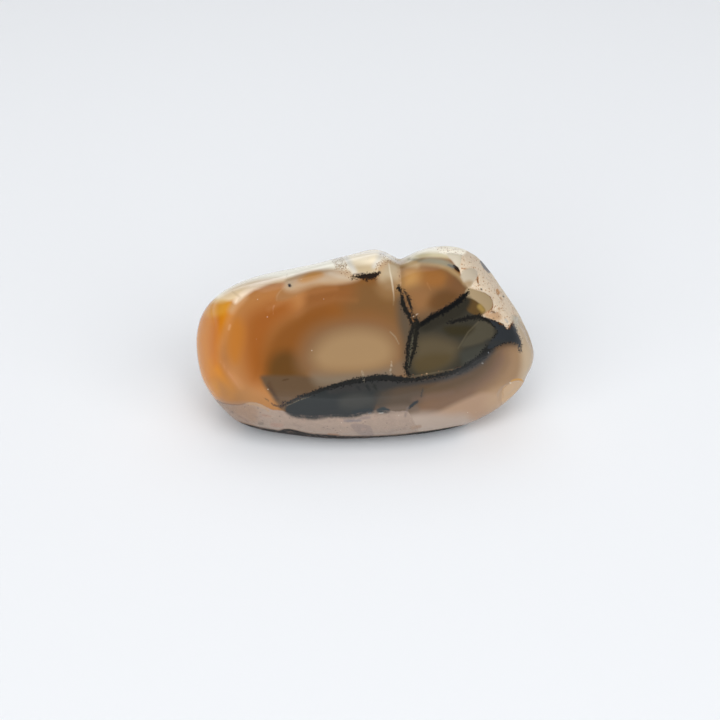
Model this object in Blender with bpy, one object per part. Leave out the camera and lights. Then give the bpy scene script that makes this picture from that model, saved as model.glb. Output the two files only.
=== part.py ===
"""A hand-polished freeform of dendritic opal, standing on its ground base.

The stone is one solid. It starts as a ball, which is worked as a stone is on the wheel: the ball takes the
stone's outline and its swell, flats are ground onto it, lumps and hollows are left in it, small flakes are
broken from it, and the base is cut level. The stone is worked in its own sight frame, where X is to the
right, Y is up the face and Z points out of the face, and is then tilted back into the world frame, where it
stands on Z = 0.
"""

import math

import bmesh
import bpy
import numpy as np
from mathutils import Matrix, Vector

MM = 0.001

# Driving dimensions
LENGTH = 60 * MM
FACE_TILT = math.radians(32)  # how far the face leans back from upright
FRONT_SWELL = 13.2 * MM  # how far the face stands out from the outline
BACK_SWELL = 14.6 * MM
BASE_DROP = 14.1 * MM  # from the stone's middle straight down to the base
FRONT_FULLNESS = 3.0  # 2 is an ellipse; more makes a flatter face and a tighter rim
BACK_FULLNESS = 2.6
ARRIS_SHARPNESS = 32  # more makes the edges between the flats crisper
SCAR_EDGE = 1.15  # where a scar's wall starts, in its half widths
SCAR_WALL = 0.3  # how wide the wall is, in the same
BALL_CUTS = 25  # the cuts across each side of the cube that the ball is made from
SHARP_EDGE = math.radians(35)

# The outline seen along the sight frame's Z, as (right, up) in millimetres from the middle of a stone whose
# length is 60, clockwise from the left end. The top has a dip between its two lumps.
OUTLINE_LENGTH = 60.0
OUTLINE = (
    (-30.2, -0.5), (-29.7, 3.2), (-28.0, 6.2), (-25.2, 8.8), (-21.7, 10.9), (-17.8, 12.2),
    (-13.3, 13.0), (-8.3, 14.0), (-3.6, 15.3), (0.7, 16.4), (2.9, 16.2), (4.7, 15.4),
    (6.2, 14.8), (7.5, 15.2), (9.4, 16.0), (11.9, 16.7), (15.1, 16.9), (18.2, 16.2),
    (20.8, 14.6), (22.9, 12.1), (25.1, 8.8), (27.1, 5.8), (28.8, 2.1), (29.8, -1.1),
    (29.6, -3.9), (28.7, -6.0), (27.7, -8.1), (24.6, -11.2), (21.0, -13.4), (16.9, -14.9),
    (10.7, -16.1), (4.1, -16.8), (-2.7, -17.1), (-8.0, -16.9), (-13.5, -16.3), (-18.8, -15.4),
    (-22.5, -14.0), (-25.0, -11.8), (-27.1, -9.3), (-29.1, -5.8),
)

# Flats ground on the stone: (right, up, out) is the way each one faces, and the distance is from the stone's
# middle, in millimetres.
FLATS = {
    "crown": ((-0.23, 0.93, 0.28), 15.9),
    "left_end": ((-0.84, 0.04, 0.53), 26.8),
    "low_right": ((0.46, -0.60, 0.65), 19.1),
    "right_shoulder": ((0.74, 0.53, 0.41), 24.3),
    "front": ((-0.06, 0.08, 0.99), 12.9),
    "back": ((0.10, 0.12, -0.99), 13.6),
    "back_crown": ((-0.10, 0.80, -0.60), 16.6),
    "back_left": ((-0.72, 0.05, -0.69), 22.6),
    "back_right": ((0.66, -0.20, -0.72), 22.4),
}

# Lumps (height above zero) and hollows (below zero): (right, up, out) of the middle, the half width along and
# across the lump, the turn of its long way up from level, and the height. The turn is in degrees and the rest
# in millimetres.
LUMPS = {
    "right_lump": ((15.0, 9.5, 9.0), (9.0, 5.0), -25.0, 0.55),
    "vein_groove": ((7.0, 12.6, 7.0), (5.5, 1.4), -78.0, -0.50),
    "groove_over_top": ((6.3, 14.4, -3.0), (1.7, 5.5), 0.0, -0.45),
    "face_dip": ((4.0, -2.0, 13.0), (6.0, 9.0), 0.0, -0.22),
    "left_swell": ((-16.0, 2.0, 10.5), (9.0, 9.0), 0.0, 0.30),
    "back_swell": ((-8.0, 3.0, -14.0), (10.0, 8.0), 20.0, 0.50),
    "back_hollow": ((12.0, 1.0, -12.5), (8.0, 5.0), 35.0, -0.70),
    "top_hollow": ((-12.0, 10.5, -7.0), (7.0, 4.0), 10.0, -0.35),
}

# Flake scars and the nick in the base's edge: laid out as the lumps are, but with a flat floor and a steep
# wall.
SCARS = {
    "right_flake": ((26.7, -9.2, 3.4), (2.2, 2.1), 90.0, -0.35),
    "base_nick": ((-12.8, -16.4, 0.8), (2.8, 1.5), 0.0, -0.55),
    "back_flake": ((-20.0, 9.0, -8.0), (3.8, 2.4), 30.0, -0.40),
}


def clear_scene():
    for obj in list(bpy.data.objects):
        bpy.data.objects.remove(obj, do_unlink=True)


def closed_curve(points, steps=16):
    """A closed Catmull-Rom curve through the points."""
    before, after, beyond = (np.roll(points, shift, axis=0) for shift in (1, -1, -2))
    t = np.linspace(0, 1, steps, endpoint=False)[:, None, None]
    curve = 0.5 * (
        2 * points
        + (after - before) * t
        + (2 * before - 5 * points + 4 * after - beyond) * t**2
        + (3 * points - before - 3 * after + beyond) * t**3
    )
    return curve.transpose(1, 0, 2).reshape(-1, 2)


def outline_reach(angle):
    """How far the outline is from the middle, at each angle round it."""
    curve = closed_curve(np.array(OUTLINE)) * LENGTH / OUTLINE_LENGTH
    order = np.unwrap(np.arctan2(curve[:, 1], curve[:, 0]))[::-1]
    return np.interp(angle, order, np.hypot(curve[:, 0], curve[:, 1])[::-1], period=2 * math.pi)


def body_closeness(way):
    """One over the distance to the round body: a superellipse from the outline up to the swell, all round."""
    reach = outline_reach(np.arctan2(way[:, 1], way[:, 0]))
    swell = np.where(way[:, 2] > 0, FRONT_SWELL, BACK_SWELL)
    fullness = np.where(way[:, 2] > 0, FRONT_FULLNESS, BACK_FULLNESS)
    across = np.hypot(way[:, 0], way[:, 1]) / reach
    return (across**fullness + (np.abs(way[:, 2]) / swell) ** fullness) ** (1 / fullness)


def worked_distance(way):
    """The distance to the body with its flats ground on, in each direction from the middle."""
    closeness = [body_closeness(way)]
    for facing, distance in FLATS.values():
        normal = np.array(facing) / np.linalg.norm(facing)
        closeness.append(np.maximum(way @ normal, 0) / (distance * MM))
    closeness = np.array(closeness)
    nearest = closeness.max(axis=0)
    return 1 / (nearest * ((closeness / nearest) ** ARRIS_SHARPNESS).sum(axis=0) ** (1 / ARRIS_SHARPNESS))


def spread_from(points, middle, half_widths, turn):
    """How far each point is from the middle of a lump, in half widths, over the surface there."""
    middle = np.array(middle) * MM
    out = middle / np.linalg.norm(middle)
    along = np.array((math.cos(math.radians(turn)), math.sin(math.radians(turn)), 0))
    along -= along @ out * out
    along /= np.linalg.norm(along)
    offset = points - middle
    steps = (
        offset @ along / (half_widths[0] * MM),
        offset @ np.cross(out, along) / (half_widths[1] * MM),
        offset @ out / (2 * max(half_widths) * MM),
    )
    return np.linalg.norm(steps, axis=0)


def shape_stone(way):
    """The point of the stone's surface in each direction from its middle."""
    points = way * worked_distance(way)[:, None]
    lift = np.zeros(len(way))
    for middle, half_widths, turn, height in LUMPS.values():
        lift += height * MM * np.exp(-0.5 * spread_from(points, middle, half_widths, turn) ** 2)
    for middle, half_widths, turn, height in SCARS.values():
        inside = np.clip((SCAR_EDGE - spread_from(points, middle, half_widths, turn)) / SCAR_WALL, 0, 1)
        lift += height * MM * inside**2 * (3 - 2 * inside)
    return points + way * lift[:, None]


def make_ball(bm):
    """A ball of even facets: a cube cut into squares, and its corners sent out to the unit ball."""
    bmesh.ops.create_cube(bm, size=2)
    bmesh.ops.subdivide_edges(bm, edges=bm.edges[:], cuts=BALL_CUTS, use_grid_fill=True)
    for vert in bm.verts:
        vert.co = Vector(math.tan(c * math.pi / 4) for c in vert.co).normalized()
    bmesh.ops.triangulate(bm, faces=bm.faces[:])


def work_ball(bm):
    """Draws the ball out to the stone's three reaches, and then sends each corner to the stone's surface."""
    reaches = np.array((LENGTH / 2, outline_reach(math.pi / 2), FRONT_SWELL))
    way = np.array([vert.co for vert in bm.verts]) * reaches
    way /= np.linalg.norm(way, axis=1)[:, None]
    for vert, place in zip(bm.verts, shape_stone(way)):
        vert.co = place


def cut_base(bm, drop):
    """Cuts the stone level at the base and closes the cut with one flat face."""
    whole = bm.verts[:] + bm.edges[:] + bm.faces[:]
    cut = bmesh.ops.bisect_plane(
        bm, geom=whole, plane_co=(0, 0, -drop), plane_no=(0, 0, -1), clear_outer=True
    )
    rim = [item for item in cut["geom_cut"] if isinstance(item, bmesh.types.BMEdge)]
    bmesh.ops.contextual_create(bm, geom=rim)


def centre_on_base(bm):
    """Moves the stone so that the middle of its box's underside is at the world's origin."""
    corners = np.array([vert.co for vert in bm.verts])
    low, high = corners.min(axis=0), corners.max(axis=0)
    bm.transform(Matrix.Translation((-(low[0] + high[0]) / 2, -(low[1] + high[1]) / 2, -low[2])))


def opal_material():
    material = bpy.data.materials.new("polished_opal")
    material.use_nodes = True
    shader = material.node_tree.nodes["Principled BSDF"]
    shader.inputs["Base Color"].default_value = (0.38, 0.22, 0.10, 1)
    shader.inputs["Roughness"].default_value = 0.12
    shader.inputs["Metallic"].default_value = 0.0
    return material


def build_opal():
    bm = bmesh.new()
    make_ball(bm)
    work_ball(bm)
    bm.transform(Matrix.Rotation(math.pi / 2 - FACE_TILT, 4, "X"))
    cut_base(bm, BASE_DROP)
    centre_on_base(bm)

    mesh = bpy.data.meshes.new("opal")
    bm.to_mesh(mesh)
    bm.free()
    mesh.shade_smooth()
    mesh.set_sharp_from_angle(angle=SHARP_EDGE)
    mesh.materials.append(opal_material())
    return bpy.data.objects.new("opal", mesh)


def main():
    clear_scene()
    stone = bpy.data.collections.new("dendritic_opal")
    bpy.context.scene.collection.children.link(stone)
    stone.objects.link(build_opal())


main()
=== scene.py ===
import math

import bpy
import numpy as np
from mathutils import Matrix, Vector


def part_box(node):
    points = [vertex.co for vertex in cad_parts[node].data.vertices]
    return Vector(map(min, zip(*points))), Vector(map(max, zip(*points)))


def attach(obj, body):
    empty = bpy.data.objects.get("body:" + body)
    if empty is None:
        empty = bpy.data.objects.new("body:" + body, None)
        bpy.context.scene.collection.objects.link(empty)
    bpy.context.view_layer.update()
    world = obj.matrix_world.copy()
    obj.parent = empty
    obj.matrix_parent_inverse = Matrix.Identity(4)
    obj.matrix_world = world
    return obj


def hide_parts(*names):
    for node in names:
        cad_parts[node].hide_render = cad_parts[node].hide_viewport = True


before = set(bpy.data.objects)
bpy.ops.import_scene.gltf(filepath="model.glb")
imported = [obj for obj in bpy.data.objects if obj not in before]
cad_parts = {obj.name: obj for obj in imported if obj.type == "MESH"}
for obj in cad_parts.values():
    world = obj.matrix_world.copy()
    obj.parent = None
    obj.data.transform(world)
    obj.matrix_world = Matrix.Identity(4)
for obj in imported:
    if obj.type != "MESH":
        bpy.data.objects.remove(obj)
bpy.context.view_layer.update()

mm = 0.001

# The stone's shape, in its sight frame: right, up the face, and out of the face, in millimetres from its
# middle.
stone = {
    "length": 60.0,
    "outlineLength": 60.0,  # the length that the outline is drawn at
    "faceTilt": 32.0,  # degrees that the face leans back
    "frontSwell": 13.2,
    "backSwell": 14.6,
    "frontFullness": 3.0,  # 2 is an ellipse, more is a flatter face
    "backFullness": 2.6,
    "baseDrop": 14.1,
    "baseRounding": 0.9,  # width of the worn edge of the base
    "arrisSharpness": 32,
    "scarEdge": 1.15,  # where a scar's wall starts, in its half widths
    "scarWall": 0.3,  # how wide the wall is, in the same
    "cells": (230, 135, 50),  # squares of the mesh along, up and through the stone
    "seed": 7,
}

outline = [
    (-30.2, -0.5), (-29.7, 3.2), (-28.0, 6.2), (-25.2, 8.8), (-21.7, 10.9), (-17.8, 12.2),
    (-13.3, 13.0), (-8.3, 14.0), (-3.6, 15.3), (0.7, 16.4), (2.9, 16.2), (4.7, 15.4),
    (6.2, 14.8), (7.5, 15.2), (9.4, 16.0), (11.9, 16.7), (15.1, 16.9), (18.2, 16.2),
    (20.8, 14.6), (22.9, 12.1), (25.1, 8.8), (27.1, 5.8), (28.8, 2.1), (29.8, -1.1),
    (29.6, -3.9), (28.7, -6.0), (27.7, -8.1), (24.6, -11.2), (21.0, -13.4), (16.9, -14.9),
    (10.7, -16.1), (4.1, -16.8), (-2.7, -17.1), (-8.0, -16.9), (-13.5, -16.3), (-18.8, -15.4),
    (-22.5, -14.0), (-25.0, -11.8), (-27.1, -9.3), (-29.1, -5.8),
]

flats = {  # the way each flat faces, and its distance from the middle
    "crown": ((-0.23, 0.93, 0.28), 15.9),
    "leftEnd": ((-0.84, 0.04, 0.53), 26.8),
    "lowRight": ((0.46, -0.60, 0.65), 19.1),
    "rightShoulder": ((0.74, 0.53, 0.41), 24.3),
    "front": ((-0.06, 0.08, 0.99), 12.9),
    "back": ((0.10, 0.12, -0.99), 13.6),
    "backCrown": ((-0.10, 0.80, -0.60), 16.6),
    "backLeft": ((-0.72, 0.05, -0.69), 22.6),
    "backRight": ((0.66, -0.20, -0.72), 22.4),
}

lumps = {  # middle, half widths along and across, turn in degrees, height
    "rightLump": ((15.0, 9.5, 9.0), (9.0, 5.0), -25.0, 0.55),
    "veinGroove": ((7.0, 12.6, 7.0), (5.5, 1.4), -78.0, -0.50),
    "grooveOverTop": ((6.3, 14.4, -3.0), (1.7, 5.5), 0.0, -0.45),
    "faceDip": ((4.0, -2.0, 13.0), (6.0, 9.0), 0.0, -0.22),
    "leftSwell": ((-16.0, 2.0, 10.5), (9.0, 9.0), 0.0, 0.30),
    "backSwell": ((-8.0, 3.0, -14.0), (10.0, 8.0), 20.0, 0.50),
    "backHollow": ((12.0, 1.0, -12.5), (8.0, 5.0), 35.0, -0.70),
    "topHollow": ((-12.0, 10.5, -7.0), (7.0, 4.0), 10.0, -0.35),
}

scars = {  # the same, with a flat floor and a steep wall
    "rightFlake": ((26.7, -9.2, 3.4), (2.2, 2.1), 90.0, -0.35),
    "baseNick": ((-12.8, -16.4, 0.8), (2.8, 1.5), 0.0, -0.55),
    "backFlake": ((-20.0, 9.0, -8.0), (3.8, 2.4), 30.0, -0.40),
}


def smoothRise(value, low, high):  # the cubic step, from 0 at the low end to 1 at the high end
    share = np.clip((value - low) / (high - low), 0, 1)
    return share**2 * (3 - 2 * share)


def closedCurve(points, steps=16):
    # Catmull-Rom: each stretch is the cubic that its four nearest points give.
    before, after, beyond = (np.roll(points, shift, axis=0) for shift in (1, -1, -2))
    t = np.linspace(0, 1, steps, endpoint=False)[:, None, None]
    curve = 0.5 * (
        2 * points
        + (after - before) * t
        + (2 * before - 5 * points + 4 * after - beyond) * t**2
        + (3 * points - before - 3 * after + beyond) * t**3
    )
    return curve.transpose(1, 0, 2).reshape(-1, points.shape[1])


def outlineReach(angle):  # distance from the middle to the outline, read from the curve by angle
    curve = closedCurve(np.array(outline)) * stone["length"] / stone["outlineLength"]
    order = np.unwrap(np.arctan2(curve[:, 1], curve[:, 0]))[::-1]
    return np.interp(angle, order, np.hypot(curve[:, 0], curve[:, 1])[::-1], period=2 * math.pi)


def workedDistance(way):
    # One over the distance is the greatest, as a soft p-norm, of the round body's and of each flat's. The
    # body's is a superellipse from the outline to the swell, and a flat's is the way's share along its
    # normal over its distance.
    reach = outlineReach(np.arctan2(way[:, 1], way[:, 0]))
    swell = np.where(way[:, 2] > 0, stone["frontSwell"], stone["backSwell"])
    fullness = np.where(way[:, 2] > 0, stone["frontFullness"], stone["backFullness"])
    across = np.hypot(way[:, 0], way[:, 1]) / reach
    closeness = [(across**fullness + (np.abs(way[:, 2]) / swell) ** fullness) ** (1 / fullness)]
    for facing, distance in flats.values():
        normal = np.array(facing) / np.linalg.norm(facing)
        closeness.append(np.maximum(way @ normal, 0) / distance)
    closeness = np.array(closeness)
    nearest = closeness.max(axis=0)
    power = stone["arrisSharpness"]
    return 1 / (nearest * ((closeness / nearest) ** power).sum(axis=0) ** (1 / power))


def spreadFrom(points, middle, halfWidths, turn):
    # Length of the step from the middle, with its three shares each over its own half width: along, across
    # and out.
    middle = np.array(middle)
    out = middle / np.linalg.norm(middle)
    along = np.array((math.cos(math.radians(turn)), math.sin(math.radians(turn)), 0))
    along -= along @ out * out
    along /= np.linalg.norm(along)
    offset = points - middle
    steps = (
        offset @ along / halfWidths[0],
        offset @ np.cross(out, along) / halfWidths[1],
        offset @ out / (2 * max(halfWidths)),
    )
    return np.linalg.norm(steps, axis=0)


def boxLattice(cells):
    # The skin of a box of cells as welded squares: each side is a grid of two of the three whole-number
    # places, with the third held at its low or high end.
    counts = np.array(cells)
    sides = []
    for axis in range(3):
        first, second = (axis + 1) % 3, (axis + 2) % 3
        a, b = np.meshgrid(np.arange(counts[first] + 1), np.arange(counts[second] + 1), indexing="ij")
        for end in (0, 1):
            place = np.zeros(a.shape + (3,), int)
            place[..., first], place[..., second], place[..., axis] = a, b, end * counts[axis]
            code = (place[..., 0] * (counts[1] + 1) + place[..., 1]) * (counts[2] + 1) + place[..., 2]
            square = np.stack([code[:-1, :-1], code[1:, :-1], code[1:, 1:], code[:-1, 1:]], axis=-1)
            sides.append((square if end else square[..., ::-1]).reshape(-1, 4))
    codes, squares = np.unique(np.concatenate(sides), return_inverse=True)
    layer, row = (counts[1] + 1) * (counts[2] + 1), counts[2] + 1
    places = np.stack([codes // layer, codes // row % (counts[1] + 1), codes % row], axis=-1)
    return places / counts * 2 - 1, squares.reshape(-1, 4)


def stonePoints(places):
    # The stone's surface, in the sight frame: the box's places are sent out to a ball by the tangent rule,
    # the ball is drawn out to the stone's three reaches, and each way from the middle gets its worked
    # distance, the lumps as Gaussian swells and the scars as flat floors with a cubic step for a wall.
    way = np.tan(places * math.pi / 4)
    way = way * (stone["length"] / 2, outlineReach(math.pi / 2), stone["frontSwell"])
    way /= np.linalg.norm(way, axis=1)[:, None]
    points = way * workedDistance(way)[:, None]
    lift = np.zeros(len(way))
    for middle, halfWidths, turn, height in lumps.values():
        lift += height * np.exp(-0.5 * spreadFrom(points, middle, halfWidths, turn) ** 2)
    for middle, halfWidths, turn, height in scars.values():
        spread = spreadFrom(points, middle, halfWidths, turn)
        lift += height * smoothRise(stone["scarEdge"] - spread, 0, stone["scarWall"])
    return points + way * lift[:, None], way


def standUp(points):
    # Tilts the face back and cuts the base: below the base's plane a point slides back along its own ray to
    # the plane, and the two distances are joined by a short curved step.
    lean = math.pi / 2 - math.radians(stone["faceTilt"])
    right, up, out = points.T
    y = up * math.cos(lean) - out * math.sin(lean)
    z = up * math.sin(lean) + out * math.cos(lean)
    tilted = np.stack([right, y, z], axis=-1)
    far = np.linalg.norm(tilted, axis=1)
    toPlane = np.where(z < 0, far * stone["baseDrop"] / np.maximum(-z, 1e-6), 1e6)
    gap = np.clip(1 - np.abs(far - toPlane) / stone["baseRounding"], 0, 1)
    near = np.minimum(far, toPlane) - gap**2 * stone["baseRounding"] / 4
    return tilted * (near / far)[:, None]


def lieDown(points):  # the same turn undone
    lean = math.pi / 2 - math.radians(stone["faceTilt"])
    right, y, z = points.T
    up = y * math.cos(lean) + z * math.sin(lean)
    out = z * math.cos(lean) - y * math.sin(lean)
    return np.stack([right, up, out], axis=-1)


# The markings are placed in a frame of 720 x 720 pixels.
view = {
    "middle": (365.0, 342.0),  # pixels, where the stone's middle is seen
    "mmPerPixel": 0.17751,
    "eyeFar": 301.8,  # mm from the stone's middle
    "driftStart": 0.5,  # mm behind the middle, where the markings start to drift
    "driftDepth": 12.0,  # mm further back, where they have drifted all the way
}
drifts = {  # mm: how far, how much it wavers and how long a waver is, and where in the wave it starts
    "right": (2.4, 1.6, 3.1, 0.8),
    "up": (-2.2, 1.8, 5.3, 2.1),
}
thinning = {  # mm: from where to where behind the middle, and how much comes off the half width
    "seams": (1.5, 9.0, 1.2),
    "grains": (1.0, 6.5, 2.4),
    "backMarkings": 3.5,  # they start this far behind it
}

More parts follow.
